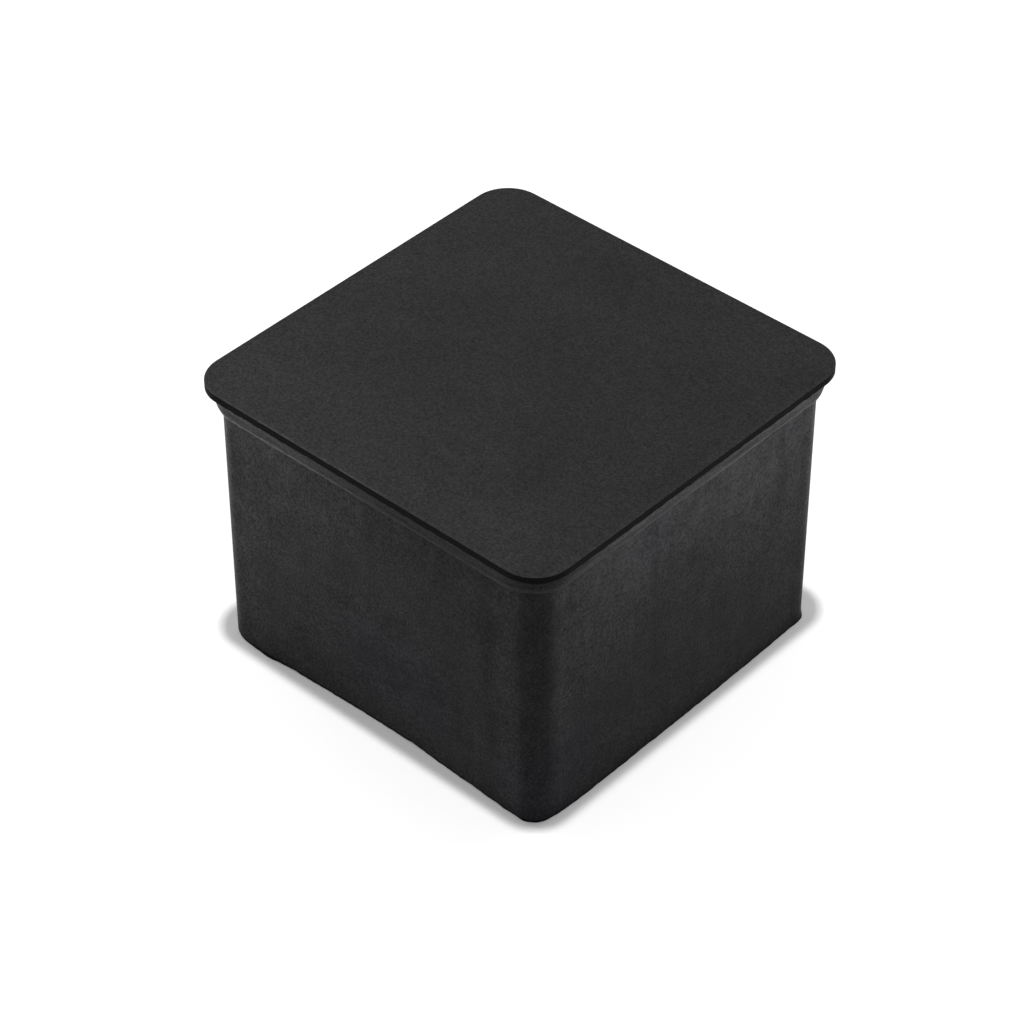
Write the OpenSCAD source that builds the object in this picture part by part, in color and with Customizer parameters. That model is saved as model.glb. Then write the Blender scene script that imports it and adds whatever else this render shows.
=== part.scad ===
// Slip-over rubber foot for a square tube.
// It is one moulding: a flanged sole and a square sleeve that takes the end of the tube.
// The foot stands on the mouth of its sleeve with the sole facing up, and Z is its centre line.
// Each layer is a half profile carried round a square with rounded corners, so every flat and
// every corner round comes from the same outline.

/* [Tube socket] */
// Outside width of the square tube
tube_w = 50; // [40:0.5:60]
// Depth of the socket from the mouth to the face that the end of the tube meets
socket_depth = 38.5; // [20:0.5:60]
// How much narrower the socket is across at its floor than at its mouth
grip_taper = 0.6; // [0.2:0.1:1.2]
// Radius of the upright corners of the socket at its floor
socket_corner_r = 1.4; // [1.2:0.1:2.4]
// Radius between the floor of the socket and its walls
floor_fillet_r = 1; // [0.3:0.1:1.1]
// Size of the lead-in chamfer inside the mouth
lead_in = 0.6; // [0.2:0.1:1]

/* [Sleeve] */
// Wall of the sleeve at the mouth
wall_t = 2.85; // [2:0.05:5]
// Radius of the upright outer corners of the sleeve
sleeve_corner_r = 3.15; // [2:0.05:4]

/* [Flange] */
// Rubber between the floor of the socket and the sole face
sole_t = 5; // [3:0.5:10]
// How far the flange stands out beyond the sleeve on each side
overhang = 2.15; // [2:0.05:4]
// Height of the upright lip at the sole face
lip_h = 1; // [0.7:0.1:2]
// Corner radius of the lip
lip_corner_r = 5.3; // [3.5:0.1:6.5]
// Height of the sloped collar between the lip and the underside of the flange
collar_h = 2.9; // [1.5:0.1:6]
// How far the top of the collar stands in from the lip on each side
collar_step = 0.15; // [0.05:0.05:0.3]
// How far the collar slopes in on each side over its height
collar_slope = 0.75; // [0.2:0.05:1]
// Corner radius of the collar at the underside of the flange
collar_corner_r = 5.8; // [5.2:0.1:6.5]

/* [Edges] */
// Radius of the edge round the sole face
sole_edge_r = 0.3; // [0.1:0.05:0.5]
// Radius of the lower edge of the collar
collar_edge_r = 0.4; // [0.2:0.05:0.5]

/* [Hidden] */
$fn = 72;
rubber = [0.12, 0.12, 0.13];
// How far a cutter passes the surface that it opens
past = 1;

// Heights above the mouth
sole_z = socket_depth + sole_t;
lip_z = sole_z - lip_h;
flange_z = lip_z - collar_h;

// Half widths across the flats
mouth_half = tube_w / 2;
floor_half = mouth_half - grip_taper / 2;
sleeve_half = mouth_half + wall_t;
lip_half = sleeve_half + overhang;
collar_top_half = lip_half - collar_step;
collar_low_half = collar_top_half - collar_slope;

// Distances of the corner axes from the centre line, where a corner's rounds are all centred
socket_axis = floor_half - socket_corner_r;
sleeve_axis = sleeve_half - sleeve_corner_r;
lip_axis = lip_half - lip_corner_r;
collar_axis = collar_low_half - collar_corner_r;

// Direction of a vector, with a length of one
function unit(v) = v / norm(v);

// The sliver between a corner at point p and the arc of radius r that rounds it.
// The corner's two sides leave along the directions a and b.
module corner_sliver(p, a, b, r) {
    half_angle = acos(unit(a) * unit(b)) / 2;
    reach = r / tan(half_angle);
    centre = p + unit(unit(a) + unit(b)) * r / sin(half_angle);
    difference() {
        polygon([p, p + reach * unit(a), centre, p + reach * unit(b)]);
        translate(centre) circle(r);
    }
}

// Carries a half profile round a square, with a quarter turn about the axis of each corner.
// The profile's x runs outward from the corner axis, and its y is the height.
module round_the_square(axis, low, high) {
    translate([-axis, -axis, low]) cube([2 * axis, 2 * axis, high - low]);
    for (turn = [0:90:270]) rotate(turn) translate([axis, axis, 0]) {
        rotate_extrude(angle = 90) children();
        rotate([90, 0, 0]) linear_extrude(2 * axis) children();
    }
}

// Straight outer wall of the sleeve, from the mouth to the underside of the flange
module sleeve_profile() {
    square([sleeve_half - sleeve_axis, flange_z]);
}

// Sloped side of the flange, with a small round on its lower edge
module collar_profile() {
    low = [collar_low_half - collar_axis, flange_z];
    top = [collar_top_half - collar_axis, lip_z];
    difference() {
        polygon([[0, flange_z], low, top, [0, lip_z]]);
        corner_sliver(low, [-1, 0], top - low, collar_edge_r);
    }
}

// Upright lip at the sole face, with a small round on its top edge
module lip_profile() {
    edge = [lip_half - lip_axis, sole_z];
    difference() {
        translate([0, lip_z]) square([edge[0], lip_h]);
        corner_sliver(edge, [-1, 0], [0, -1], sole_edge_r);
    }
}

// Hollow for the tube: lead-in at the mouth, gripping taper, and a filleted floor
module socket_profile() {
    mouth = [mouth_half - socket_axis, 0];
    floor_edge = [floor_half - socket_axis, socket_depth];
    throat = mouth + (floor_edge - mouth) * lead_in / socket_depth;
    flare = [throat[0] + lead_in + past, -past];
    difference() {
        polygon([[0, -past], flare, throat, floor_edge, [0, socket_depth]]);
        corner_sliver(floor_edge, [-1, 0], throat - floor_edge, floor_fillet_r);
    }
}

module rubber_foot() {
    color(rubber) difference() {
        union() {
            round_the_square(sleeve_axis, 0, flange_z) sleeve_profile();
            round_the_square(collar_axis, flange_z, lip_z) collar_profile();
            round_the_square(lip_axis, lip_z, sole_z) lip_profile();
        }
        round_the_square(socket_axis, -past, socket_depth) socket_profile();
    }
}

rubber_foot();
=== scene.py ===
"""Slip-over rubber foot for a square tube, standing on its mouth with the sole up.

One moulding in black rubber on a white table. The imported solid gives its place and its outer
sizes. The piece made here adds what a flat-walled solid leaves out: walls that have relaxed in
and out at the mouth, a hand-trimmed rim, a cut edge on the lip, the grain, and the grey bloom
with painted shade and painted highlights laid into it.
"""

import logging
import math
from dataclasses import dataclass, field
from enum import Enum
from typing import Any

import bpy
import numpy as np
from mathutils import Euler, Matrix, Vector


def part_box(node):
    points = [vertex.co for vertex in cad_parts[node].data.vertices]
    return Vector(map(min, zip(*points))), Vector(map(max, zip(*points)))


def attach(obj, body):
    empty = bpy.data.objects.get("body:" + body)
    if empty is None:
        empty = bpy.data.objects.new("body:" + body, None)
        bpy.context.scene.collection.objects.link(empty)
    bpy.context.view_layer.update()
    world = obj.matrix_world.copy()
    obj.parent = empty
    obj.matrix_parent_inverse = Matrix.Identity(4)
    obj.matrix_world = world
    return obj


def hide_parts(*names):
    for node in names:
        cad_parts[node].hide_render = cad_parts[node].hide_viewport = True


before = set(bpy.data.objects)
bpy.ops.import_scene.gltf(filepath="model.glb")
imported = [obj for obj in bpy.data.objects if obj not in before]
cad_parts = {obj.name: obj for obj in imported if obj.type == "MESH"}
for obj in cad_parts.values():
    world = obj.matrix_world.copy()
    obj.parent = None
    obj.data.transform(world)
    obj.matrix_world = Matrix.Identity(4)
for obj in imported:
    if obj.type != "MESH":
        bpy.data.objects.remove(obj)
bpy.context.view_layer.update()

NODE = "rubber_foot"
MM = 0.001
LOG = logging.getLogger("foot")

# Corners of the solid in metres, then half widths and the sole's height in millimetres
LOW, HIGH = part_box(NODE)
LIP_HALF = (HIGH.x - LOW.x) / MM / 2
SOLE_Z = (HIGH.z - LOW.z) / MM
COLLAR_HALF = 29.1
SLEEVE_HALF = 27.85

Colour = tuple[float, float, float, float]
Numbers = float | np.ndarray | tuple[float, ...]


class Zone(Enum):
    """A band of the moulding's surface, in the order from the sole to the socket."""

    SOLE = 0
    LIP = 1
    COLLAR = 2
    LEDGE = 3
    SLEEVE = 4
    RIM = 5
    SOCKET = 6


class Side(Enum):
    """A wall of the sleeve, with the direction that it faces."""

    NEAR_LEFT = (0, -1)
    NEAR_RIGHT = (1, 0)
    FAR_RIGHT = (0, 1)
    FAR_LEFT = (-1, 0)


# Shape of the moulding


def eased(share: np.ndarray) -> np.ndarray:
    """Eases from 0 to 1: three times the square less twice the cube."""
    return share * share * (3.0 - 2.0 * share)


def ramp(place: np.ndarray, start: float, length: float) -> np.ndarray:
    """Eases from 0 at the start to 1 at the length beyond it."""
    return eased(np.clip((place - start) / length, 0.0, 1.0))


def along_side(side: Side, x: np.ndarray, y: np.ndarray) -> tuple[np.ndarray, np.ndarray]:
    """Turns a place into a wall's own directions.

    Args:
        side: The wall.
        x: Place across.
        y: Place along.

    Returns:
        Distance outward, and distance to the right as the wall is seen from outside.
    """
    nx, ny = side.value
    return x * nx + y * ny, -x * ny + y * nx


@dataclass
class Section:
    """Half section of the moulding as rings, from the sole's centre to the socket's.

    A ring is a rounded square. It has a half width, the distance of its corners' axes from the
    middle, and a height, in millimetres.
    """

    rings: list[np.ndarray] = field(default_factory=list)
    zones: list[np.ndarray] = field(default_factory=list)
    edges: list[np.ndarray] = field(default_factory=list)

    def run(self, zone: Zone, half: Numbers, axis: Numbers, height: Numbers, edge: Numbers = 0.0) -> None:
        """Adds rings that belong to one band.

        Args:
            zone: The band.
            half: Half width of each ring, or one for all.
            axis: Distance of the corners' axes from the middle, for each ring or for all.
            height: Height of each ring, or one for all.
            edge: How much painted highlight each ring gets as an edge. Below nothing it is painted shade.
        """
        given = np.broadcast_arrays(half, axis, height, edge)
        ring = np.stack(given, axis=-1).astype(float).reshape(-1, 4)
        self.rings.append(ring[:, :3])
        self.edges.append(ring[:, 3])
        self.zones.append(np.full(len(ring), zone.value))

    def drawn(self) -> tuple[np.ndarray, np.ndarray, np.ndarray]:
        """Gives all rings as half, axis and height, then the band and the edge of each."""
        return tuple(np.concatenate(part) for part in (self.rings, self.zones, self.edges))


@dataclass(frozen=True)
class Bow:
    """How far a wall has relaxed at the mouth: inward where depth is positive.

    The move is the depth times a bell of the distance from the peak. The bell is one minus the
    distance, as a share of the way to the corner, to the power fullness, all squared.
    """

    side: Side
    depth: float
    peak: float
    fullness: float = 2.0

    def inward(self, along: np.ndarray, reach: float) -> np.ndarray:
        """Gives the move at the mouth.

        Args:
            along: Distance from the wall's middle line.
            reach: Distance from the middle line to where the bow ends.

        Returns:
            The inward move, nothing at the corners.
        """
        past = along - self.peak
        share = np.abs(past) / np.where(past > 0, reach - self.peak, reach + self.peak)
        return self.depth * (1.0 - np.clip(share, 0.0, 1.0) ** self.fullness) ** 2


@dataclass(frozen=True)
class HandCut:
    """An edge that a knife has followed all the way round by hand.

    Its unevenness is a sum of sines round the foot, each with a whole number of waves, a size
    and a start, plus nicks. A nick is a bell of the distance from a place on a side, and has
    that side, the place along it, a width and a size.
    """

    waves: tuple[tuple[int, float, float], ...] = ()
    nicks: tuple[tuple[Side, float, float, float], ...] = ()

    def uneven(self, x: np.ndarray, y: np.ndarray) -> np.ndarray:
        """Works out the unevenness round one ring.

        Args:
            x: Place of the ring's points across.
            y: Place of the ring's points along.

        Returns:
            Millimetres, nothing at the lowest point.
        """
        turn = np.arctan2(y, x)
        move = sum(size * np.sin(count * turn + start) for count, size, start in self.waves)
        for side, place, width, size in self.nicks:
            out, along = along_side(side, x, y)
            away = np.hypot(along - place, out.max() - out)
            move = move + size * np.exp(-((away / width) ** 2))
        return move - move.min()


@dataclass
class RubberFoot:
    """The moulding: sole, lip, collar, sleeve and socket, with sizes in millimetres.

    A ring of the collar is given by its height above the collar's lower round and by its painted
    highlight, which is painted shade where it is below nothing, and a ring of that round by its
    painted highlight. A ring of the rim is given by how far it stands in from the sleeve and by its
    height as a share of the rim's cut.
    """

    socket_depth: float = 38.5
    mouth_half: float = 25.0
    floor_half: float = 24.7
    socket_corner: float = 1.4
    floor_fillet: float = 1.0
    lead_in: float = 0.6
    sleeve_half: float = SLEEVE_HALF
    sleeve_corner: float = 3.15
    lip_height: float = 1.0
    lip_corner: float = 5.3
    lip_edge: float = 0.05
    collar_height: float = 2.9
    collar_step: float = 0.15
    collar_slope: float = 0.75
    collar_corner: float = 5.8
    collar_edge: float = 0.4
    # Collar rings: height above the lower round, then painted highlight, painted shade where below nothing
    collar_rings: tuple[tuple[float, float], ...] = (
        (2.2, 0.0), (1.8, 0.0), (1.4, 0.0), (1.1, -0.3), (0.93, -0.4), (0.76, -0.35),
        (0.6, -0.1), (0.48, 0.2), (0.36, 0.7), (0.24, 1.1), (0.12, 1.1), (0.0, 0.9),
    )
    # Painted highlight on the rings of the collar's lower round
    round_highlight: tuple[float, ...] = (0.7, 0.2, 0.0, 0.0, 0.0, 0.0)
    inner_fillet: float = 0.35
    sole_edge: float = 0.1
    # Painted highlight along the sole's edge
    sole_edge_highlight: float = 0.5
    turn_up: float = 0.03
    turn_up_width: float = 0.6
    # The rim's trimmed finish reaches this high: partly a knife-cut face, darker than the moulding, and
    # partly a painted contact shade along the mouth
    rim_cut: float = 0.66
    rim_rings: tuple[tuple[float, float], ...] = ((0.005, 0.97), (0.02, 0.6), (0.06, 0.15), (0.16, 0.0))
    round_steps: int = 5
    side_steps: int = 128
    corner_steps: int = 14
    mouth_cut: HandCut = HandCut(
        ((5, 0.025, 0.4), (31, 0.02, 4.4), (59, 0.025, 1.2), (97, 0.03, 3.3), (163, 0.025, 0.7)),
        (
            (Side.NEAR_LEFT, -26.4, 1.5, 0.62),
            (Side.NEAR_LEFT, -15.4, 0.7, 0.14),
            (Side.NEAR_LEFT, 5.8, 1.8, 0.18),
            (Side.NEAR_LEFT, 17.2, 1.5, 0.22),
            (Side.NEAR_LEFT, 20.8, 1.3, 0.15),
            (Side.NEAR_LEFT, 24.0, 1.4, 0.16),
            (Side.NEAR_RIGHT, -7.0, 1.2, 0.14),
            (Side.NEAR_RIGHT, 11.3, 1.2, 0.12),
            (Side.FAR_RIGHT, 8.0, 1.6, 0.2),
            (Side.FAR_LEFT, -11.0, 2.0, 0.18),
        ),
    )
    mouth_burr: HandCut = HandCut(
        nicks=((Side.NEAR_LEFT, -20.2, 2.2, 0.3), (Side.NEAR_RIGHT, 26.6, 1.3, 0.26))
    )
    mouth_reach: float = 1.4
    lip_cut: HandCut = HandCut(
        ((7, 0.03, 1.1), (23, 0.025, 0.3), (61, 0.035, 2.2), (97, 0.03, 5.1), (149, 0.022, 3.0))
    )
    lip_reach: float = 0.3
    lip_hang: float = 0.18
    flash_line: HandCut = HandCut(
        ((11, 0.03, 2.6), (37, 0.02, 0.9), (89, 0.015, 4.0), (127, 0.012, 1.7))
    )
    flash_reach: float = 0.45
    flash_hang: float = 0.16
    bows: tuple[Bow, ...] = (
        Bow(Side.NEAR_LEFT, 0.88, 1.5, 1.9),
        Bow(Side.NEAR_RIGHT, -0.42, -14.0, 5.0),
        Bow(Side.FAR_RIGHT, 0.5, 2.0),
        Bow(Side.FAR_LEFT, -0.3, -3.0),
    )
    bow_power: float = 1.7

    @property
    def lip_z(self) -> float:
        """Height of the lip's lower edge."""
        return SOLE_Z - self.lip_height

    @property
    def ledge_z(self) -> float:
        """Height of the flange's underside."""
        return self.lip_z - self.collar_height

    @property
    def collar_top(self) -> float:
        """Half width of the collar under the lip."""
        return LIP_HALF - self.collar_step

    @property
    def lip_axis(self) -> float:
        """Distance of the lip's corner axes from the middle."""
        return LIP_HALF - self.lip_corner

    @property
    def sleeve_axis(self) -> float:
        """Distance of the sleeve's corner axes from the middle."""
        return self.sleeve_half - self.sleeve_corner

    @property
    def socket_axis(self) -> float:
        """Distance of the socket's corner axes from the middle."""
        return self.floor_half - self.socket_corner

    @property
    def round_turn(self) -> np.ndarray:
        """Angles of the rings on an edge round, over a quarter turn."""
        return np.linspace(0.0, math.pi / 2, self.round_steps + 1)

    def section(self) -> Section:
        """Draws the half section from the frame's box and the named sizes.

        Straight stretches are sets of rings on a line. Each edge round is an arc, so half width
        and height follow the sine and the cosine of an angle about its centre.

        Returns:
            The rings and their bands.
        """
        drawn = Section()
        self.draw_sole(drawn)
        self.draw_lip(drawn)
        self.draw_collar(drawn)
        self.draw_sleeve(drawn)
        self.draw_rim(drawn)
        self.draw_socket(drawn)
        return drawn

    def draw_sole(self, drawn: Section) -> None:
        """Draws the sole, closer set and turning up at its edge, and the round of that edge.

        The lower half of the round is part of the lip, because the knife has cut it too.

        Args:
            drawn: The half section, which gains the rings.
        """
        face = LIP_HALF - self.sole_edge
        flat = face - self.turn_up_width
        grow = np.sin(np.linspace(0.0, math.pi / 2, 20))
        drawn.run(Zone.SOLE, flat * grow, self.lip_axis * grow, SOLE_Z - self.turn_up)
        share = np.linspace(0.0, 1.0, 7)[1:]
        half = flat + self.turn_up_width * share
        height = SOLE_Z - self.turn_up * (1.0 - eased(share))
        drawn.run(Zone.SOLE, half, self.lip_axis, height, self.sole_edge_highlight * ramp(share, 0.5, 0.5))
        turn = self.round_turn[1:-1]
        half = face + self.sole_edge * np.sin(turn)
        height = SOLE_Z - self.sole_edge * (1.0 - np.cos(turn))
        drawn.run(Zone.SOLE, half[:2], self.lip_axis, height[:2])
        drawn.run(Zone.LIP, half[2:], self.lip_axis, height[2:])

    def draw_lip(self, drawn: Section) -> None:
        """Draws the upright lip, its lower edge and the step in to the collar.

        Args:
            drawn: The half section, which gains the rings.
        """
        height = np.linspace(SOLE_Z - self.sole_edge, self.lip_z + self.lip_edge, 7)
        drawn.run(Zone.LIP, LIP_HALF, self.lip_axis, height)
        half = np.array([LIP_HALF - 0.6 * self.lip_edge, self.collar_top])
        drawn.run(Zone.LIP, half, self.lip_axis, self.lip_z + 0.4 * self.lip_edge)

    def draw_collar(self, drawn: Section) -> None:
        """Draws the collar, sloping in on its way down to its lower round.

        Args:
            drawn: The half section, which gains the rings.
        """
        low_half = self.collar_top - self.collar_slope
        axis = low_half - self.collar_corner
        slope = math.atan2(self.collar_slope, self.collar_height)
        reach = self.collar_edge * math.tan((math.pi / 2 - slope) / 2)
        straight = self.collar_height - reach * math.cos(slope)
        above, painted_highlight = np.array([(straight, 0.0), *self.collar_rings]).T
        share = (straight - above) / self.collar_height
        half = self.collar_top - self.collar_slope * share
        drawn.run(Zone.COLLAR, half, axis, self.lip_z - self.collar_height * share, painted_highlight)
        turn = np.linspace(-slope, -math.pi / 2, len(self.round_highlight) + 1)[1:]
        half = low_half - reach + self.collar_edge * np.cos(turn)
        height = self.ledge_z + self.collar_edge * (1.0 + np.sin(turn))
        drawn.run(Zone.COLLAR, half, axis, height, self.round_highlight)

    def draw_sleeve(self, drawn: Section) -> None:
        """Draws the flange's underside, hollowed into the sleeve, and the sleeve.

        Args:
            drawn: The half section, which gains the rings, closer set towards the mouth.
        """
        turn = self.round_turn
        half = self.sleeve_half + self.inner_fillet * (1.0 - np.sin(turn))
        height = self.ledge_z - self.inner_fillet * (1.0 - np.cos(turn))
        drawn.run(Zone.LEDGE, half, self.sleeve_axis, height)
        share = np.linspace(1.0, 0.0, 36)[1:] ** 1.6
        height = self.rim_cut + (self.ledge_z - self.inner_fillet - self.rim_cut) * share
        drawn.run(Zone.SLEEVE, self.sleeve_half, self.sleeve_axis, height)

    def draw_rim(self, drawn: Section) -> None:
        """Draws the trimmed rim, from its outer edge to the lead-in.

        Args:
            drawn: The half section, which gains the rings.
        """
        inset, share = np.array(self.rim_rings).T
        half = self.sleeve_half - inset
        drawn.run(Zone.RIM, half, self.sleeve_axis, self.rim_cut * share)
        share = np.linspace(0.0, 1.0, 6)[1:]
        half = half[-1] + (self.mouth_half + self.lead_in - half[-1]) * share
        axis = self.sleeve_axis + (self.socket_axis - self.sleeve_axis) * share
        drawn.run(Zone.RIM, half, axis, 0.0)

    def draw_socket(self, drawn: Section) -> None:
        """Draws the socket: lead-in, taper, fillet and floor.

        Args:
            drawn: The half section, which gains the rings, closer set towards the mouth.
        """
        share = np.linspace(0.0, 1.0, 18) ** 1.2
        top = self.socket_depth - self.floor_fillet
        half = self.mouth_half + (self.floor_half - self.mouth_half) * share
        drawn.run(Zone.SOCKET, half, self.socket_axis, self.lead_in + (top - self.lead_in) * share)
        turn = self.round_turn[1:]
        half = self.floor_half - self.floor_fillet * (1.0 - np.cos(turn))
        drawn.run(Zone.SOCKET, half, self.socket_axis, top + self.floor_fillet * np.sin(turn))
        shrink = np.linspace(1.0, 0.0, 8)[1:]
        drawn.run(Zone.SOCKET, half[-1] * shrink, self.socket_axis * shrink, self.socket_depth)

    def outlines(self, half: np.ndarray, axis: np.ndarray) -> tuple[np.ndarray, np.ndarray]:
        """Lays each ring's rounded square.

        A point is the axis of a corner plus the corner radius along a direction. At a corner the
        direction turns by a quarter, and along a side it stands still while the axis slides.

        Args:
            half: Half width of each ring.
            axis: Distance of each ring's corner axes from the middle.

        Returns:
            x and y, each an array of rings by points round.
        """
        arc = np.linspace(0.0, math.pi / 2, self.corner_steps + 1)
        slide = np.linspace(1.0, -1.0, self.side_steps + 1)[1:-1]
        facing = np.concatenate([arc, np.full(slide.size, math.pi / 2)])
        across = np.concatenate([np.ones(arc.size), slide])
        quarter = np.arange(4)[:, None] * math.pi / 2
        facing = (facing + quarter).ravel()
        hub_x = (across * np.cos(quarter) - np.sin(quarter)).ravel()
        hub_y = (across * np.sin(quarter) + np.cos(quarter)).ravel()
        hub = axis[:, None]
        corner = (half - axis)[:, None]
        return hub * hub_x + corner * np.cos(facing), hub * hub_y + corner * np.sin(facing)

    def relaxed(self, x: np.ndarray, y: np.ndarray, height: np.ndarray) -> tuple[np.ndarray, np.ndarray]:
        """Moves both faces of each wall by its bow.

        The bow's move is taken times a share that is nothing at the flange and grows to one at
        the mouth, as the distance below the flange to the bow's power. The bow ends two fifths of
        the corner's radius past its axis. A point is on a wall where it lies further out than
        four fifths of the mouth.

        Args:
            x: Place of the points across.
            y: Place of the points along.
            height: Height of each ring.

        Returns:
            The new x and y.
        """
        below = np.clip(1.0 - height / self.ledge_z, 0.0, 1.0) ** self.bow_power
        reach = self.sleeve_half - 0.6 * self.sleeve_corner
        moved_x, moved_y = x.copy(), y.copy()
        for bow in self.bows:
            out, along = along_side(bow.side, x, y)
            move = np.where(out > 0.8 * self.mouth_half, bow.inward(along, reach), 0.0) * below
            moved_x -= bow.side.value[0] * move
            moved_y -= bow.side.value[1] * move
        return moved_x, moved_y

    def work(self, rings: np.ndarray, zones: np.ndarray) -> np.ndarray:
        """Lays the rings out and works them over as the knife and the years have done.

        The mouth's cut lifts the rim and its burrs push it outward, both times the share of the
        mouth's reach that is left at a height, to the power 1.5. The lip's lower edge and the
        flange's flash line hang by a fixed amount and are lifted by their own cut, both times a
        bell of the distance from their height. The flash line also goes inward by its cut. It
        is lifted by half of the cut with x and y swapped, so that the two aren't in step.

        Args:
            rings: Half width, corner axis and height of each ring.
            zones: The band of each ring.

        Returns:
            Points in millimetres, as an array of rings by points by three.
        """
        x, y = self.outlines(rings[:, 0], rings[:, 1])
        height = rings[:, 2:3]
        guide = int(np.flatnonzero(zones == Zone.SLEEVE.value)[0])
        gx, gy = x[guide], y[guide]
        outside = np.isin(zones, [Zone.LIP.value, Zone.COLLAR.value, Zone.LEDGE.value])[:, None]
        near_mouth = np.clip(1.0 - height / self.mouth_reach, 0.0, 1.0) ** 1.5
        near_lip = np.exp(-(((height - self.lip_z) / self.lip_reach) ** 2)) * outside
        near_flash = np.exp(-(((height - self.ledge_z) / self.flash_reach) ** 2)) * outside

        z = height + near_mouth * self.mouth_cut.uneven(gx, gy)
        z = z + near_lip * (self.lip_cut.uneven(gx, gy) - self.lip_hang)
        z = z + near_flash * (0.5 * self.flash_line.uneven(gy, gx) - self.flash_hang)
        outward = near_mouth * self.mouth_burr.uneven(gx, gy) - near_flash * self.flash_line.uneven(gx, gy)
        scale = 1.0 + outward / self.sleeve_half
        moved_x, moved_y = self.relaxed(x, y, height)
        return np.stack([moved_x * scale, moved_y * scale, z], axis=-1)

    @staticmethod
    def faces(count: int, around: int) -> list[list[int]]:
        """Joins neighbouring rings by quads, and the outermost ones to a point by triangles.

        Args:
            count: Number of rings.
            around: Number of points on a ring.

        Returns:
            The point numbers of each face. The two end points come after all the rings.
        """
        index = np.arange(count * around).reshape(count, around)
        after = np.roll(index, -1, axis=1)
        quads = np.stack([index[:-1], index[1:], after[1:], after[:-1]], axis=-1).reshape(-1, 4)
        top = np.stack([np.full(around, index.size), index[0], after[0]], axis=-1)
        end = np.stack([np.full(around, index.size + 1), after[-1], index[-1]], axis=-1)
        return top.tolist() + quads.tolist() + end.tolist()

    def build(self) -> bpy.types.Object:
        """Makes the closed mesh, smooth, with numbers for its finishes and masks for the bloom and its
        painted shade and highlights.

        The first and the last ring have no width, and are one point each. A face is in the band
        of the ring that it starts from, on the sole's side, and in the socket's at the very end.

        Returns:
            The piece, at the origin.
        """
        rings, zones, edges = self.section().drawn()
        worked = self.work(rings, zones)
        count, around = worked.shape[:2]
        ends = [[0.0, 0.0, rings[0, 2]], [0.0, 0.0, rings[-1, 2]]]
        points = np.concatenate([worked[1:-1].reshape(-1, 3), ends])
        mesh = bpy.data.meshes.new(NODE)
        mesh.from_pydata((points * MM).tolist(), [], self.faces(count - 2, around))
        mesh.polygons.foreach_set("use_smooth", np.ones(len(mesh.polygons), bool))
        band = np.concatenate([zones[:-2], zones[-1:]]).repeat(around)
        trimmed = np.isin(band, [Zone.LIP.value, Zone.RIM.value])
        mesh.polygons.foreach_set("material_index", trimmed.astype(np.int32))
        zone = np.concatenate([np.repeat(zones[1:-1], around), zones[[0, -1]]])
        edge = np.concatenate([np.repeat(edges[1:-1], around), edges[[0, -1]]])
        bloom_and_painted_light = BloomAndPaintedLight()
        self.mark(mesh, "sleeve", np.isin(zone, [Zone.SLEEVE.value, Zone.LEDGE.value]))
        self.mark(mesh, "collar", zone == Zone.COLLAR.value)
        # The edge attribute is painted highlight along edges, and painted shade where it is below nothing
        self.mark(mesh, "edge", edge * bloom_and_painted_light.edge_highlight(points))
        # The bloom share also carries painted shade and painted highlights
        self.mark(mesh, "bloom_and_painted_light", bloom_and_painted_light.bloom_and_painted_light_share(points, zone == Zone.SOLE.value))
        self.mark(mesh, "cool", bloom_and_painted_light.cool(points))
        mesh.update()
        piece = bpy.data.objects.new("foot_moulding", mesh)
        bpy.context.scene.collection.objects.link(piece)
        return piece

    @staticmethod
    def mark(mesh: bpy.types.Mesh, name: str, values: np.ndarray) -> None:
        """Writes one number a point as an attribute of the mesh."""
        given = values.astype(np.float32)
        mesh.attributes.new(name, "FLOAT", "POINT").data.foreach_set("value", given)


# Bloom, painted shade and painted highlights that lie on the moulding


@dataclass(frozen=True)
class Mark:
    """A soft mark: a bell in x, y and z about a centre, with a reach in each and a gain."""

    centre: tuple[float, float, float]
    reach: tuple[float, float, float]
    gain: float

    def bell(self, points: np.ndarray) -> np.ndarray:
        """Gives the gain at the centre and less away from it, for each point."""
        away = (points - np.array(self.centre)) / np.array(self.reach)
        return self.gain * np.exp(-(away**2).sum(axis=1))


def on_sole(x: float, y: float, across: float, along: float, gain: float) -> Mark:
    """Places a mark on the sole, with its reach across and along."""
    return Mark((x, y, SOLE_Z), (across, along, 1.0), gain)


def on_wall(
    side: Side, along: float, z: float, wide: float, high: float, gain: float,
    out: float = SLEEVE_HALF, deep: float = 1.0,
) -> Mark:
    """Places a mark on a wall.

    Args:
        side: The wall.
        along: Place along it.
        z: Height of the place.
        wide: Reach along the wall.
        high: Reach up and down.
        gain: Gain at the centre.
        out: Distance of the centre from the middle of the foot.
        deep: Reach outward and inward.

    Returns:
        The mark.
    """
    nx, ny = side.value
    reach = (abs(nx) * deep + abs(ny) * wide, abs(ny) * deep + abs(nx) * wide, high)
    return Mark((nx * out - ny * along, ny * out + nx * along, z), reach, gain)


def on_collar(side: Side, along: float, z: float, wide: float, high: float, gain: float) -> Mark:
    """Places a mark on the collar over a wall, with its reach along the wall and up."""
    return on_wall(side, along, z, wide, high, gain, out=COLLAR_HALF, deep=3.0)


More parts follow.
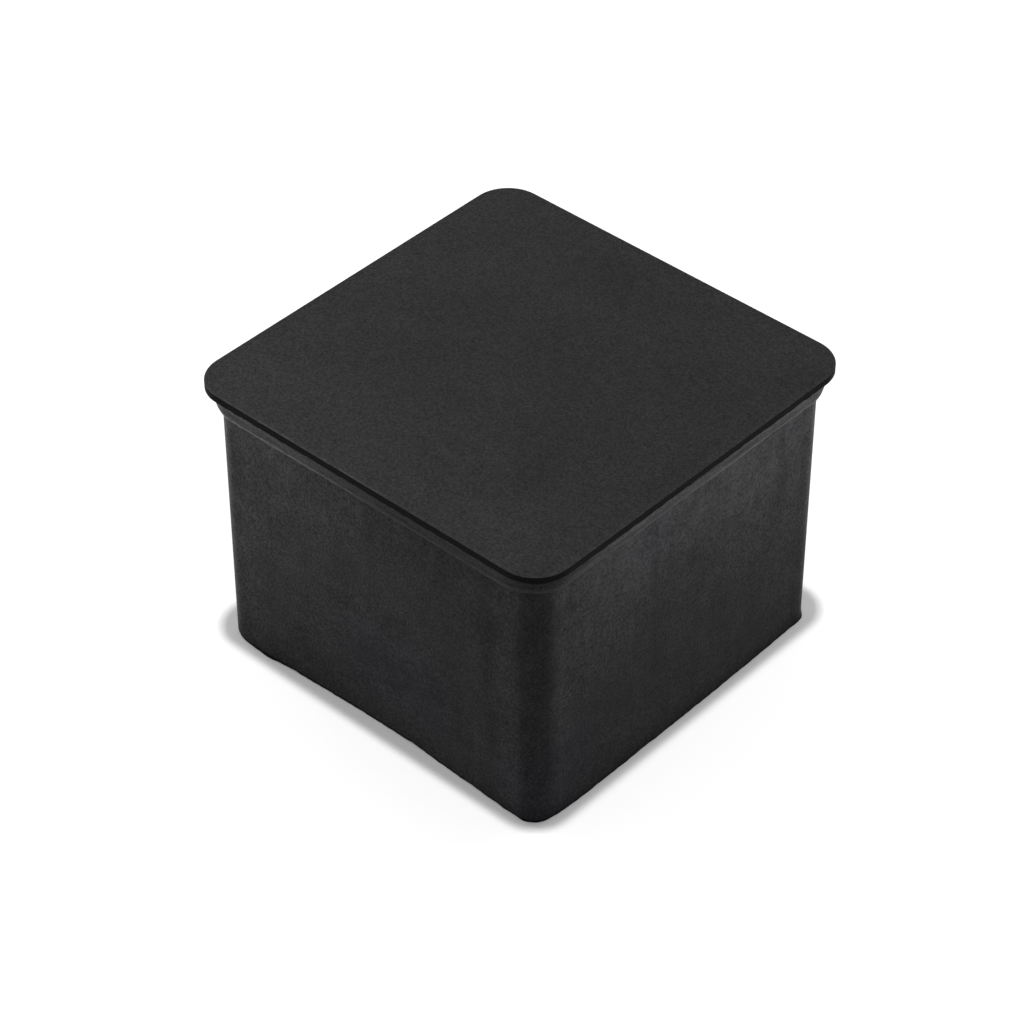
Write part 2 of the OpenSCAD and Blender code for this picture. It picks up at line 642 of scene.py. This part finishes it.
@dataclass(frozen=True)
class BloomAndPaintedLight:
    """Where the grey bloom lies, broadly. The fine unevenness is in the finish.

    The sole has one share, and a little more towards the near left wall. The walls have another
    at the mouth, and gain the rise up to the full height: a painted shade that leaves them darker
    towards the mouth. Each pair is a ramp's start and length in millimetres. The marks scale the
    share: most are blemishes, and some are painted shade and painted highlights. The tints say
    how bluish the bloom is, and the highlit edges say how much painted highlight the edges get,
    over the little painted highlight that every edge gets.
    """

    sole: float = 0.34
    sole_gain: float = 0.06
    sole_from: tuple[float, float] = (5.0, 25.0)
    # The walls' share at the mouth and its rise with height; the rise is a painted shade that darkens the
    # walls towards the mouth
    mouth: float = 0.33
    rise: float = 0.44
    full_height: float = 40.0
    # Painted shade round the near corner
    near_corner_shade: float = 0.9
    near_corner_shade_left: tuple[float, float] = (-26.0, 38.0)
    near_corner_shade_right: tuple[float, float] = (-28.0, 14.0)
    # Painted shade at the top of the sleeve, under the flange
    shade_under_flange: float = 0.12
    under_flange: tuple[float, float] = (38.2, 0.8)
    flange_height: float = 39.7
    marks: tuple[Mark, ...] = (
        # Sole
        on_sole(-3.0, 21.5, 4.5, 4.0, -0.1),
        on_sole(15.0, -13.5, 3.5, 6.0, -0.14),
        on_sole(1.0, 9.0, 5.0, 5.0, -0.07),
        on_sole(-27.0, 0.0, 9.0, 40.0, 0.09),
        on_sole(-14.0, -19.0, 14.0, 11.0, 0.06),
        on_sole(16.0, 12.0, 11.0, 13.0, -0.06),
        # Collar
        on_collar(Side.NEAR_RIGHT, 17.0, 40.5, 5.0, 0.16, -0.35),
        on_collar(Side.NEAR_RIGHT, 6.0, 40.9, 7.0, 0.16, -0.25),
        on_collar(Side.NEAR_RIGHT, -9.0, 40.6, 5.0, 0.2, -0.2),
        on_collar(Side.NEAR_RIGHT, -4.0, 41.6, 9.0, 0.7, 0.12),
        on_collar(Side.NEAR_LEFT, -8.0, 41.2, 6.0, 0.8, 0.09),
        on_collar(Side.NEAR_LEFT, 12.0, 41.0, 5.0, 0.5, 0.09),
        # Near left wall: upright bands, then smears, then small spots
        on_wall(Side.NEAR_LEFT, -24.0, 31.5, 1.3, 5.0, -0.28),
        on_wall(Side.NEAR_LEFT, -22.2, 10.0, 1.2, 9.0, 0.1),
        on_wall(Side.NEAR_LEFT, -20.0, 18.0, 0.9, 20.0, -0.07),
        on_wall(Side.NEAR_LEFT, -14.6, 27.5, 1.0, 3.5, -0.14),
        on_wall(Side.NEAR_LEFT, -0.4, 34.0, 0.5, 3.0, -0.12),
        on_wall(Side.NEAR_LEFT, 19.8, 24.0, 1.2, 16.0, -0.2),
        on_wall(Side.NEAR_LEFT, 23.0, 20.0, 1.2, 22.0, 0.12),
        on_wall(Side.NEAR_LEFT, -20.0, 30.0, 9.0, 9.0, -0.08),
        on_wall(Side.NEAR_LEFT, -13.0, 3.5, 5.0, 3.0, -0.12),
        on_wall(Side.NEAR_LEFT, -6.0, 21.4, 8.0, 0.55, -0.09),
        on_wall(Side.NEAR_LEFT, 3.5, 12.8, 8.0, 1.1, -0.12),
        on_wall(Side.NEAR_LEFT, 15.0, 15.0, 6.0, 0.8, -0.07),
        on_wall(Side.NEAR_LEFT, 4.0, 11.0, 8.0, 5.0, -0.13, 27.6, 1.5),
        # Painted light along the foot of the near left wall
        on_wall(Side.NEAR_LEFT, -1.0, 0.9, 10.0, 1.3, 0.35, 27.2, 2.0),
        on_wall(Side.NEAR_LEFT, -5.3, 7.0, 1.0, 1.0, -0.16),
        on_wall(Side.NEAR_LEFT, 9.0, 16.5, 0.5, 0.5, -0.2),
        # Front corner: painted shade on it, and a painted highlight on the near right wall beside it
        Mark((SLEEVE_HALF, -SLEEVE_HALF, 20.0), (4.0, 4.0, 60.0), -0.13),
        on_wall(Side.NEAR_RIGHT, -26.2, 15.0, 1.0, 20.0, 0.17, 27.5, 0.8),
        on_wall(Side.NEAR_RIGHT, -23.2, 24.0, 1.2, 26.0, 0.28),
        on_wall(Side.NEAR_RIGHT, -22.4, 11.0, 2.4, 7.0, 0.2),
        # Near right wall: broad tones, the largest a painted shade over its lower part, then bands, then
        # small spots
        on_wall(Side.NEAR_RIGHT, -5.0, 14.0, 45.0, 24.0, -0.34),
        on_wall(Side.NEAR_RIGHT, -2.0, 38.7, 28.0, 1.3, 0.26),
        on_wall(Side.NEAR_RIGHT, 2.0, 33.0, 12.0, 4.0, 0.1),
        on_wall(Side.NEAR_RIGHT, 12.5, 32.5, 5.0, 6.5, 0.15),
        on_wall(Side.NEAR_RIGHT, 1.5, 28.0, 5.5, 3.5, -0.09),
        on_wall(Side.NEAR_RIGHT, 17.2, 33.5, 0.6, 6.0, 0.12),
        on_wall(Side.NEAR_RIGHT, 19.4, 30.0, 1.1, 8.0, -0.14),
        on_wall(Side.NEAR_RIGHT, 14.6, 35.8, 0.4, 0.4, -0.2),
        on_wall(Side.NEAR_RIGHT, 12.2, 26.5, 0.4, 0.4, -0.2),
        on_wall(Side.NEAR_RIGHT, 24.0, 32.7, 0.5, 0.5, -0.2),
        on_wall(Side.NEAR_RIGHT, 18.7, 11.5, 0.45, 0.45, -0.2),
    )
    tints: tuple[Mark, ...] = (
        on_wall(Side.NEAR_LEFT, 3.5, 11.0, 14.0, 9.5, 0.95, deep=1.5),
        on_wall(Side.NEAR_RIGHT, -6.0, 35.0, 5.5, 4.5, 0.7),
        on_wall(Side.NEAR_RIGHT, 21.0, 36.6, 2.2, 2.0, 0.6),
        on_wall(Side.NEAR_RIGHT, -20.5, 9.0, 6.0, 7.5, 0.8),
        Mark((27.0, -27.0, 5.0), (6.0, 6.0, 7.0), 0.9),
    )
    # Painted highlight on the edges: a little everywhere, and more in the places below
    highlight_everywhere: float = 0.068
    highlit_edges: tuple[Mark, ...] = (
        on_wall(Side.NEAR_LEFT, -10.0, SOLE_Z, 16.0, 1.5, 1.1, LIP_HALF, 3.0),
        on_wall(Side.NEAR_LEFT, -24.0, 39.9, 16.0, 2.0, 0.75, COLLAR_HALF, 4.0),
        on_wall(Side.NEAR_RIGHT, 14.0, 39.9, 8.0, 2.0, 0.07, COLLAR_HALF, 4.0),
    )

    def bloom_and_painted_light_share(self, points: np.ndarray, on_face: np.ndarray) -> np.ndarray:
        """Works out how much bloom lies at each point.

        On the sleeve and the collar it grows with the height above the mouth to the power 1.2,
        a painted shade that darkens the walls towards the mouth. Round the near corner it is taken
        down as painted shade: more and more along the near left wall, and for the first 14 mm of the
        near right one. A little more painted shade takes it down at the top of the sleeve, under the
        flange. The marks then scale it.

        Args:
            points: Places in millimetres, one a row.
            on_face: Which of them are on the sole.

        Returns:
            A share from 0 to 1 for each.
        """
        x, y, z = points.T
        # The rise with height, the near corner's shade and the shade under the flange are all painted
        # shade
        raised = np.clip(z / self.full_height, 0.0, 1.0) ** 1.2
        near_corner_shade = self.near_corner_shade * ramp(x, *self.near_corner_shade_left) * (1.0 - ramp(y, *self.near_corner_shade_right))
        flange_shade = self.shade_under_flange * ramp(z, *self.under_flange) * (z < self.flange_height)
        sleeve = (self.mouth + self.rise * raised * (1.0 - near_corner_shade)) * (1.0 - flange_shade)
        sole = self.sole + self.sole_gain * ramp(-y, *self.sole_from)
        marked = 1.0 + sum(mark.bell(points) for mark in self.marks)
        return np.where(on_face, sole, sleeve) * marked

    def cool(self, points: np.ndarray) -> np.ndarray:
        """Gives how bluish the bloom is at each point."""
        return sum(tint.bell(points) for tint in self.tints)

    def edge_highlight(self, points: np.ndarray) -> np.ndarray:
        """Gives how much painted highlight an edge gets at each point."""
        return self.highlight_everywhere + sum(mark.bell(points) for mark in self.highlit_edges)


# Finishes


@dataclass(frozen=True)
class Pattern:
    """Noise that makes the bloom uneven.

    It has the size of its largest lumps in millimetres, its detail and its roughness, then its
    strength, how much stronger it is on the sleeve, and how far it is stretched along x, y and z.
    """

    size: float
    detail: float
    rough: float
    strength: float = 0.0
    on_sleeve: float = 0.0
    stretch: tuple[float, float, float] = (1.0, 1.0, 1.0)


class Value:
    """A shader value. Python's operators on it add Math nodes."""

    def __init__(self, nodes: "Nodes", socket: bpy.types.NodeSocket | None) -> None:
        """Keeps the socket and the tree that it is in."""
        self.nodes = nodes
        self.socket = socket

    def math(self, operation: str, *terms: Any, clamp: bool = False) -> "Value":
        """Adds a Math node.

        Args:
            operation: The node's operation.
            terms: Its inputs, as values or numbers.
            clamp: Whether the result is held between 0 and 1.

        Returns:
            The node's result.
        """
        settings = {"operation": operation, "use_clamp": clamp}
        return self.nodes.add("ShaderNodeMath", settings, dict(enumerate(terms)))

    def __add__(self, other: Any) -> "Value":
        """Gives self + other."""
        return self.math("ADD", self, other)

    def __radd__(self, other: Any) -> "Value":
        """Gives other + self."""
        return self.math("ADD", other, self)

    def __sub__(self, other: Any) -> "Value":
        """Gives self - other."""
        return self.math("SUBTRACT", self, other)

    def __rsub__(self, other: Any) -> "Value":
        """Gives other - self."""
        return self.math("SUBTRACT", other, self)

    def __mul__(self, other: Any) -> "Value":
        """Gives self * other."""
        return self.math("MULTIPLY", self, other)

    def __rmul__(self, other: Any) -> "Value":
        """Gives other * self."""
        return self.math("MULTIPLY", other, self)

    def clamped(self) -> "Value":
        """Gives self held between 0 and 1."""
        return self.math("ADD", self, 0.0, clamp=True)

    def step(self, low: float, high: float) -> "Value":
        """Eases from 0 to 1 as self goes from low to high."""
        settings = {"interpolation_type": "SMOOTHSTEP"}
        return self.nodes.add("ShaderNodeMapRange", settings, {0: self, 1: low, 2: high})


class Nodes:
    """The node tree of one material or of the world."""

    def __init__(self, owner: bpy.types.Material | bpy.types.World) -> None:
        """Empties the owner's tree."""
        owner.use_nodes = True
        self.tree = owner.node_tree
        self.tree.nodes.clear()

    def add(self, kind: str, settings: dict[str, Any], inputs: dict[Any, Any], out: Any = None) -> Value:
        """Adds a node, sets it, then fills its sockets.

        Args:
            kind: The node's type.
            settings: Its properties, set first.
            inputs: What goes into its sockets, by name or number: a value, a number or a colour.
            out: Name or number of the output to return, or nothing for the first that is on.

        Returns:
            The output.
        """
        node = self.tree.nodes.new(kind)
        for name, setting in settings.items():
            setattr(node, name, setting)
        for name, given in inputs.items():
            if isinstance(given, Value):
                self.tree.links.new(given.socket, node.inputs[name])
            else:
                node.inputs[name].default_value = given
        shown = [socket for socket in node.outputs if socket.enabled]
        if not shown:
            return Value(self, None)
        return Value(self, shown[0] if out is None else node.outputs[out])

    def mask(self, name: str) -> Value:
        """Reads a point attribute as a value."""
        return self.add("ShaderNodeAttribute", {"attribute_name": name}, {}, "Fac")

    def blend(self, share: Value, first: Any, second: Any) -> Value:
        """Mixes two colours."""
        settings = {"data_type": "RGBA", "clamp_factor": True}
        return self.add("ShaderNodeMix", settings, {0: share, 6: first, 7: second})

    def millimetres(self, stretch: tuple[float, float, float]) -> Value:
        """Gives Object coordinates in millimetres, each divided by its stretch."""
        place = self.add("ShaderNodeTexCoord", {}, {}, "Object")
        scale = [1.0 / MM / share for share in stretch]
        return self.add("ShaderNodeMapping", {}, {"Vector": place, "Scale": scale})

    def noise(self, pattern: Pattern) -> Value:
        """Adds a pattern's noise, from 0 to 1.

        Args:
            pattern: The pattern. Its strengths are left to the caller.

        Returns:
            The noise.
        """
        inputs = {
            "Vector": self.millimetres(pattern.stretch),
            "Scale": 1.0 / pattern.size,
            "Detail": pattern.detail,
            "Roughness": pattern.rough,
        }
        return self.add("ShaderNodeTexNoise", {}, inputs, 0)


@dataclass(frozen=True)
class Skin:
    """How the rubber looks in one state."""

    colour: Colour
    roughness: float
    specular: float
    sheen: float


@dataclass(frozen=True)
class BlackRubber:
    """Black rubber: bare where it is trimmed, and grey where a bloom lies on it. The share between them
    also carries painted shade and painted highlights.

    A range is the part of a noise that is spread out to 0 and 1.
    """

    bare: Skin = Skin((0.001, 0.001, 0.001, 1), 0.6, 0.018, 0.0)
    bloomed: Skin = Skin((0.042, 0.042, 0.042, 1), 0.51, 0.23, 0.27)
    cool: Colour = (0.0415, 0.042, 0.0565, 1)
    sheen_roughness: float = 0.3
    grain: Pattern = Pattern(0.33, 1.0, 0.7, 1.7, 0.2)
    grain_depth: float = 0.04
    grain_bump: float = 0.8
    cut_bloom: float = 0.068
    fleck: Pattern = Pattern(1.5, 2.0, 0.6, 0.34, 0.16)
    blotch: Pattern = Pattern(9.0, 3.0, 0.55, 0.3, 0.12)
    cloud: Pattern = Pattern(4.5, 4.0, 0.65, 0.0, 0.11)
    cloud_range: tuple[float, float] = (0.36, 0.64)
    streak: Pattern = Pattern(1.5, 3.0, 0.8, 0.0, 0.42, (1.0, 1.0, 22.0))
    line: Pattern = Pattern(0.9, 1.0, 0.5, 0.9, 0.0, (9.0, 9.0, 0.5))
    collar_shade: float = 0.3
    highlight_breakup: Pattern = Pattern(1.3, 2.0, 0.6, 0.75)
    highlight_breakup_range: tuple[float, float] = (0.38, 0.62)
    highlight_least: float = 0.3

    def moulded_bloom_and_painted_light(self, nodes: Nodes, grain: Value) -> Value:
        """Works out how much grey bloom lies where on the moulded surface.

        The broad share of the mesh, which also carries painted shade and painted highlights, is
        scaled by the grain, by flecks and by soft blotches, which are stronger on the sleeve, where
        clouds and upright streaks join them. Fine lines run round the collar, which is darker on the
        whole, a painted shade. The edges add an uneven painted highlight.

        Args:
            nodes: The material's tree.
            grain: The grain's noise.

        Returns:
            The share, from 0 to 1.
        """
        sleeve = nodes.mask("sleeve")
        cloud = nodes.noise(self.cloud).step(*self.cloud_range) - 0.5
        streak = nodes.noise(self.streak) - 0.5
        line = nodes.noise(self.line) - 0.5
        fine = 1.0 + (grain - 0.5) * (self.grain.strength + sleeve * self.grain.on_sleeve)
        mottle = 1.0 + cloud * sleeve * self.cloud.on_sleeve
        for pattern in (self.fleck, self.blotch):
            strength = pattern.strength + sleeve * pattern.on_sleeve
            mottle = mottle + (nodes.noise(pattern) - 0.5) * strength
        drawn = 1.0 + streak * sleeve * self.streak.on_sleeve
        drawn = drawn + (line * self.line.strength - self.collar_shade) * nodes.mask("collar")
        # Painted highlight on the edges, broken up by noise
        painted_highlight = nodes.noise(self.highlight_breakup).step(*self.highlight_breakup_range) * self.highlight_breakup.strength + self.highlight_least
        return (nodes.mask("bloom_and_painted_light") * fine * mottle * drawn + nodes.mask("edge") * painted_highlight).clamped()

    def shader(self, nodes: Nodes, skin: Skin, colour: Any, normal: Value) -> Value:
        """Adds the surface of one state.

        Args:
            nodes: The material's tree.
            skin: The state.
            colour: Its colour, plain or mixed.
            normal: The grain's normal.

        Returns:
            The shader.
        """
        inputs = {
            "Base Color": colour,
            "Roughness": skin.roughness,
            "Normal": normal,
            "Specular IOR Level": skin.specular,
            "Sheen Weight": skin.sheen,
            "Sheen Roughness": self.sheen_roughness,
        }
        return nodes.add("ShaderNodeBsdfPrincipled", {}, inputs)

    def finish(self, name: str, trimmed: bool) -> bpy.types.Material:
        """Builds one finish: the bare state and the bloomed one, mixed by the share of bloom, painted
        shade and painted highlights.

        Args:
            name: The material's name.
            trimmed: Whether a knife has cut the surface, which leaves it nearly bare.

        Returns:
            The material.
        """
        material = bpy.data.materials.new(name)
        nodes = Nodes(material)
        grain = nodes.noise(self.grain)
        share = (grain + 0.5) * self.cut_bloom if trimmed else self.moulded_bloom_and_painted_light(nodes, grain)
        bump = {"Strength": self.grain_bump, "Distance": self.grain_depth * MM, "Height": grain}
        normal = nodes.add("ShaderNodeBump", {}, bump)
        grey = nodes.blend(nodes.mask("cool"), self.bloomed.colour, self.cool)
        bare = self.shader(nodes, self.bare, self.bare.colour, normal)
        bloomed = self.shader(nodes, self.bloomed, grey, normal)
        mixed = nodes.add("ShaderNodeMixShader", {}, {0: share, 1: bare, 2: bloomed})
        nodes.add("ShaderNodeOutputMaterial", {}, {"Surface": mixed})
        return material

    def dress(self, piece: bpy.types.Object) -> None:
        """Gives the piece its two finishes, in the order of its faces' material numbers."""
        piece.data.materials.append(self.finish("moulded_rubber", False))
        piece.data.materials.append(self.finish("trimmed_rubber", True))


# Table, lamps and camera


def seen_directly(nodes: Nodes) -> Value:
    """Gives 1 to camera, glossy and transmission rays, and 0 to the others."""
    outputs = ("Is Camera Ray", "Is Glossy Ray", "Is Transmission Ray")
    first, second, third = (nodes.add("ShaderNodeLightPath", {}, {}, name) for name in outputs)
    return (first + second + third).clamped()


@dataclass(frozen=True)
class Table:
    """White table top. It looks white and keeps the foot's shadow, but bounces little light."""

    width: float = 6.0
    gap: float = 0.00001
    shown: float = 0.88
    glow: float = 0.174
    bounce: float = 0.4

    def build(self) -> bpy.types.Object:
        """Makes the top, a hair under the foot.

        Returns:
            The table.
        """
        half = self.width / 2
        mesh = bpy.data.meshes.new("table")
        corners = np.array([[-half, -half], [half, -half], [half, half], [-half, half]])
        points = np.concatenate([corners, np.full((4, 1), -self.gap)], axis=1)
        mesh.from_pydata(points.tolist(), [], [[0, 1, 2, 3]])
        mesh.materials.append(self.material())
        table = bpy.data.objects.new("table", mesh)
        bpy.context.scene.collection.objects.link(table)
        return table

    def material(self) -> bpy.types.Material:
        """Builds the finish: a bright one where it is seen, and a plainer one where it bounces.

        Returns:
            The material.
        """
        material = bpy.data.materials.new("white_table")
        nodes = Nodes(material)
        seen = nodes.add("ShaderNodeBsdfDiffuse", {}, {"Color": (self.shown,) * 3 + (1,)})
        glow = nodes.add("ShaderNodeEmission", {}, {"Color": (1, 1, 1, 1), "Strength": self.glow})
        seen = nodes.add("ShaderNodeAddShader", {}, {0: seen, 1: glow})
        plain = nodes.add("ShaderNodeBsdfDiffuse", {}, {"Color": (self.bounce,) * 3 + (1,)})
        mixed = nodes.add("ShaderNodeMixShader", {}, {0: seen_directly(nodes), 1: plain, 2: seen})
        nodes.add("ShaderNodeOutputMaterial", {}, {"Surface": mixed})
        return material


@dataclass(frozen=True)
class SoftBox:
    """A square studio lamp, placed by its bearing from the picture's right, turning away.

    The angles are in degrees and the sizes in metres. The lamp points at the foot's middle line,
    at the aim height.
    """

    name: str
    bearing: float
    elevation: float
    distance: float
    size: float
    power: float
    aim_height: float = 0.02

    def hang(self, right: float) -> None:
        """Makes the lamp and points it at the foot.

        Args:
            right: Angle of the picture's right about the vertical, in radians.
        """
        lamp = bpy.data.lights.new(self.name, "AREA")
        lamp.shape, lamp.size, lamp.energy = "SQUARE", self.size, self.power
        turn, rise = right + math.radians(self.bearing), math.radians(self.elevation)
        way = Vector((math.cos(turn) * math.cos(rise), math.sin(turn) * math.cos(rise), math.sin(rise)))
        holder = bpy.data.objects.new(self.name, lamp)
        holder.location = way * self.distance + Vector((0, 0, self.aim_height))
        holder.rotation_euler = way.to_track_quat("Z", "Y").to_euler()
        bpy.context.scene.collection.objects.link(holder)


@dataclass(frozen=True)
class Studio:
    """Camera, lamps and the room round the table.

    The camera's turn and rise are in radians, its distance, aim and nearest view in metres, and
    its lens and sensor in millimetres. The room is how much of its white light falls on the foot.
    """

    turn: float = 0.738
    rise: float = 0.7035
    distance: float = 0.4556
    aim: tuple[float, float, float] = (-0.004525, 0.003308, 0.015)
    lens: float = 119.7
    sensor: float = 36.0
    nearest: float = 0.01
    room: float = 0.28
    boxes: tuple[SoftBox, ...] = (
        SoftBox("overhead", -97.0, 88.1, 4.0, 0.15, 105.0),
        SoftBox("left_box", 145.0, 25.0, 0.45, 0.28, 0.46),
        SoftBox("right_box", 35.0, 25.0, 0.45, 0.28, 0.42),
    )

    def set_up(self) -> None:
        """Makes the camera, the lamps, the room's light and the view."""
        self.stand_camera()
        for box in self.boxes:
            box.hang(self.turn)
        world = bpy.data.worlds.new("room")
        nodes = Nodes(world)
        level = seen_directly(nodes) * (1.0 - self.room) + self.room
        air = nodes.add("ShaderNodeBackground", {}, {"Color": (1, 1, 1, 1), "Strength": level})
        nodes.add("ShaderNodeOutputWorld", {}, {"Surface": air})
        bpy.context.scene.world = world
        bpy.context.scene.view_settings.view_transform = "Standard"

    def stand_camera(self) -> None:
        """Makes the camera, back from its aim by its distance."""
        lens = bpy.data.cameras.new("camera")
        lens.lens, lens.sensor_width, lens.clip_start = self.lens, self.sensor, self.nearest
        camera = bpy.data.objects.new("camera", lens)
        camera.rotation_euler = Euler((math.pi / 2 - self.rise, 0.0, self.turn))
        back = camera.rotation_euler.to_matrix() @ Vector((0.0, 0.0, 1.0))
        camera.location = Vector(self.aim) + back * self.distance
        bpy.context.scene.collection.objects.link(camera)
        bpy.context.scene.camera = camera


def main() -> None:
    """Builds the foot, the table and the studio."""
    logging.basicConfig(level=logging.INFO, format="%(message)s")
    piece = RubberFoot().build()
    BlackRubber().dress(piece)
    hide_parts(NODE)
    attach(piece, "root")
    LOG.info("%s: %d points, %d faces", piece.name, len(piece.data.vertices), len(piece.data.polygons))
    table = Table().build()
    LOG.info("%s: %d faces", table.name, len(table.data.polygons))
    studio = Studio()
    studio.set_up()
    LOG.info("studio: camera and %d lamps", len(studio.boxes))
    bpy.context.view_layer.update()


if __name__ == "__main__":
    main()
